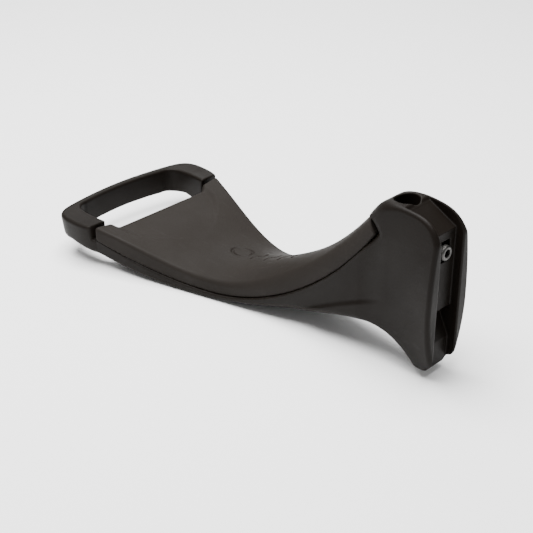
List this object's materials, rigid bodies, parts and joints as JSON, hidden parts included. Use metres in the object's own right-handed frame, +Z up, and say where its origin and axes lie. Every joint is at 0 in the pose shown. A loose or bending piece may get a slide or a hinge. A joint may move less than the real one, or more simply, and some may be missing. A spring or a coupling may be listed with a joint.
{
  "type": "cleat horn",
  "caption": "Padded one-arm cradle horn with a hand loop at its far end and a screw-clamped socket for an upright post.",
  "frame": {"origin": "where the clamp screw's axis meets the axis of the post socket", "axes": "+X along the arm from the post towards the hand loop, +Y across the arm, +Z up along the post socket, out of its mouth"},
  "size_m": [0.3164, 0.1334, 0.1135],
  "materials": {
    "body_nylon": "fine moulded texture, charcoal",
    "pad_soft": "soft-touch matte, charcoal",
    "screw_steel": "plain stainless steel",
    "nut_steel": "plain stainless steel",
    "shoe_brass": "dull brass"
  },
  "bodies": {
    "horn": {"horn_body": "body_nylon", "saddle_pad": "pad_soft", "pad_screws": "screw_steel", "clamp_nut": "nut_steel"},
    "shoe": {"clamp_shoe": "shoe_brass"},
    "screw": {"clamp_screw": "screw_steel"}
  },
  "joints": [
    {"name": "shoe_advance", "type": "slide", "parent": "horn", "child": "shoe", "axis": [1, 0, 0], "range_m": [0, 0.0025]},
    {"name": "screw_turn", "type": "hinge", "parent": "shoe", "child": "screw", "pos_m": [-0.025, 0, 0], "axis": [1, 0, 0], "range_deg": [0, 900]}
  ],
  "couplings": [
    {"joint": "screw_turn", "follows": "shoe_advance", "rad_per_m": 6283.2}
  ]
}
